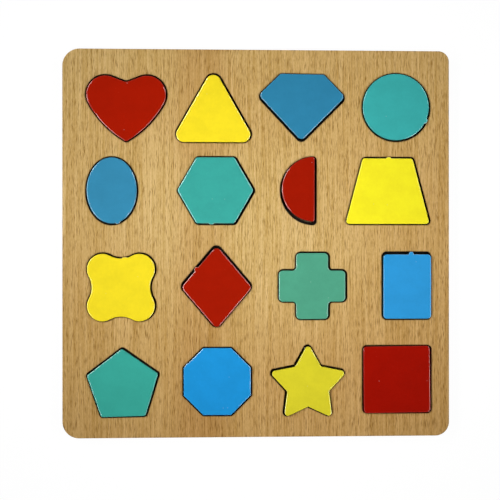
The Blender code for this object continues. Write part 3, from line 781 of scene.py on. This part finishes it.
def make_world():
    """White to the camera; to the object, a dim studio that is darker overhead."""
    world = bpy.data.worlds.new("studio")
    bpy.context.scene.world = world
    tree = emptied(world)
    white = add_node(tree, "ShaderNodeBackground", {"Color": WHITE})
    place = add_node(tree, "ShaderNodeTexCoord").outputs["Generated"]
    height = add_node(tree, "ShaderNodeSeparateXYZ", {"Vector": place}).outputs["Z"]
    level = add_node(tree, "ShaderNodeMapRange", {
        "Value": height, "From Min": ROOM_HEIGHTS[0], "From Max": ROOM_HEIGHTS[1],
        "To Min": ROOM_LIGHTS[0], "To Max": ROOM_LIGHTS[1],
    })
    dim = add_node(tree, "ShaderNodeBackground", {"Strength": level.outputs["Result"]})
    path = add_node(tree, "ShaderNodeLightPath").outputs
    blend = add_node(tree, "ShaderNodeMixShader", {
        "Fac": path["Is Camera Ray"], 1: dim.outputs[0], 2: white.outputs[0],
    })
    add_node(tree, "ShaderNodeOutputWorld", {"Surface": blend.outputs[0]})


def add_lamp(name, bearing, radiance):
    """A soft box with a grid, facing the object from a bearing in degrees, of a given radiance ahead."""
    half_beam = math.radians(LAMP_BEAM) / 2
    data = bpy.data.lights.new(name, "AREA")
    data.shape = "RECTANGLE"
    data.size, data.size_y = LAMP_SIZE
    data.spread = 2 * half_beam
    kept = 1 - half_beam / math.tan(half_beam)
    data.energy = radiance * math.pi * data.size * data.size_y * kept
    lamp = bpy.data.objects.new(name, data)
    angle = math.radians(bearing)
    place = Vector((LAMP_REACH * math.cos(angle), LAMP_REACH * math.sin(angle) + LAMP_MIDDLE_Y, LAMP_HEIGHT))
    lamp.location = place
    lamp.rotation_euler = (place - Vector(LAMP_AIM)).to_track_quat("Z", "Y").to_euler()
    bpy.context.scene.collection.objects.link(lamp)


def add_camera():
    """Nearly straight above, a little to the left, as the photograph was taken."""
    data = bpy.data.cameras.new("camera")
    data.sensor_width = SENSOR_WIDTH
    data.lens = CAMERA_LENS
    data.clip_start = CAMERA_CLIP
    camera = bpy.data.objects.new("camera", data)
    tilt_x, tilt_y, tilt_z = CAMERA_TILTS
    turn = Matrix.Rotation(tilt_z, 4, "Z") @ Matrix.Rotation(tilt_y, 4, "Y") @ Matrix.Rotation(tilt_x, 4, "X")
    camera.matrix_world = Matrix.Translation(CAMERA_PLACE) @ turn
    bpy.context.scene.collection.objects.link(camera)
    bpy.context.scene.camera = camera


def sorted_walls(loops):
    """The outer loop, counter-clockwise, then the holes, clockwise."""
    ordered = sorted(loops, key=lambda loop: -abs(signed_area(loop)))
    outer = ordered[0] if signed_area(ordered[0]) > 0 else ordered[0][::-1]
    holes = [loop[::-1] if signed_area(loop) > 0 else loop for loop in ordered[1:]]
    return faired(outer), [faired(loop) for loop in holes]


def insert_within(hole):
    """The insert whose box is centred nearest to a socket's middle."""
    middle = Vector((sum(point[0] for point in hole), sum(point[1] for point in hole))) / len(hole)
    middles = {node: (sum(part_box(node), Vector()) / 2).xy for node in PAINTS_WITH_PAINTED_LIGHT}
    return min(middles, key=lambda node: (middles[node] - middle).length)


def make_board():
    """Both sheets and the glue between them."""
    tray_low, tray_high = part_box("tray_sheet")
    back_low, back_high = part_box("backing_board")
    outer, holes = sorted_walls(edge_loops_at("tray_sheet", tray_low.z))
    # The tray's face carries painted light and shade as well as the laser's scorch
    face = wood_face("beech_face", *BEECH, scorch_and_painted_light=True)
    tray_side = ply_edge("tray_ply_edge", tray_low.z, tray_high.z, BOARD_PLIES)
    socket_wall = burnt_wall("burnt_socket_wall", tray_low.z, tray_high.z, BOARD_PLIES)
    sharp_low = round_edge(FINE_EDGE, FINE_EDGE, EDGE_STEPS, top=False)
    sharp_high = round_edge(FINE_EDGE, FINE_EDGE, EDGE_STEPS, top=True)
    soft_low = round_edge(BOARD_EDGE, BOARD_EDGE, RIM_STEPS, top=False)
    soft_high = round_edge(BOARD_EDGE, BOARD_EDGE, RIM_STEPS, top=True)
    walls = [(outer, wall_profile(tray_low.z, tray_high.z, sharp_low, soft_high, (1, 1, 0)))]
    for hole in holes:
        # Rims charred only at some sockets, partly as painted shade in their gaps
        rim_slot = 2 if insert_within(hole) in CHARRED_AND_SHADED_RIMS else 0
        walls.append((hole, wall_profile(tray_low.z, tray_high.z, sharp_low, sharp_high, (2, 2, rim_slot))))
    tray = build_slab("beech_tray", walls, [face, tray_side, socket_wall], (1, 0), scorched=True)
    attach(tray, "board")
    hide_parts("tray_sheet")

    back_outer = sorted_walls(edge_loops_at("backing_board", back_high.z))[0]
    # The backing's top takes painted shade round every socket
    floor = wood_face("birch_floor", *BIRCH, shift=BACKING_SHIFT, turned=True, painted_shade=True)
    back_side = ply_edge("backing_ply_edge", back_low.z, back_high.z, BOARD_PLIES)
    profile = wall_profile(back_low.z, back_high.z, soft_low, sharp_high, (0, 1, 1))
    backing = build_slab("backing", [(back_outer, profile)], [floor, back_side], (0, 0), painted_shade=holes)
    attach(backing, "board")
    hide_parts("backing_board")

    square_edge = [(GLUE_RECESS, 0.0, 0.0)]
    profile = wall_profile(back_high.z, tray_low.z, square_edge, square_edge, (0, 0, 0))
    film = build_slab("glue_film", [(loop, profile) for loop in [outer] + holes], [glue("dry_glue")], (0, 0))
    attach(film, "board")


def make_insert(index, node, colour):
    """A loose piece with a rounded paint rim, burnt side and bare underside."""
    low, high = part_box(node)
    outer = sorted_walls(edge_loops_at(node, low.z))[0]
    coat = paint(node + "_paint", colour, high.z, PAINT_SHIFT * (index + 1))
    bare = wood_face(node + "_underside", *BIRCH, shift=UNDERSIDE_SHIFT * (index + 1))
    side = burnt_wall(node + "_burnt_side", low.z, high.z, INSERT_PLIES, colour)
    low_edge = round_edge(FINE_EDGE, FINE_EDGE, EDGE_STEPS, top=False)
    high_edge = [(inset * MM, -fall * MM, math.radians(rise)) for inset, fall, rise in PAINT_RIM]
    profile = wall_profile(low.z, high.z, low_edge, high_edge, (2, 2, 0))
    nub = None
    if node in NUBS:
        middle = (low + high) / 2
        nub = (middle.x, middle.y, NUBS[node])
    piece = build_slab(node + "_piece", [(outer, profile)], [coat, bare, side], (1, 0), nub=nub)
    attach(piece, node)
    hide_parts(node)


def make_floor():
    """A wide pale sheet under the board."""
    mesh = bpy.data.meshes.new("studio_floor")
    corners = [(x * PAPER_HALF_SIDE, y * PAPER_HALF_SIDE, 0.0) for x, y in ((-1, -1), (1, -1), (1, 1), (-1, 1))]
    mesh.from_pydata(corners, [], [(0, 1, 2, 3)])
    mesh.materials.append(floor_material())
    floor = bpy.data.objects.new("studio_floor", mesh)
    floor.location.z = -PAPER_DROP
    bpy.context.scene.collection.objects.link(floor)


bpy.context.scene.view_settings.view_transform = "Standard"
add_camera()
make_world()
for index, (bearing, radiance) in enumerate(LAMPS):
    add_lamp(f"soft_box_{index + 1}", bearing, radiance)
make_floor()
make_board()
for index, (node, colour) in enumerate(PAINTS_WITH_PAINTED_LIGHT.items()):
    make_insert(index, node, colour)
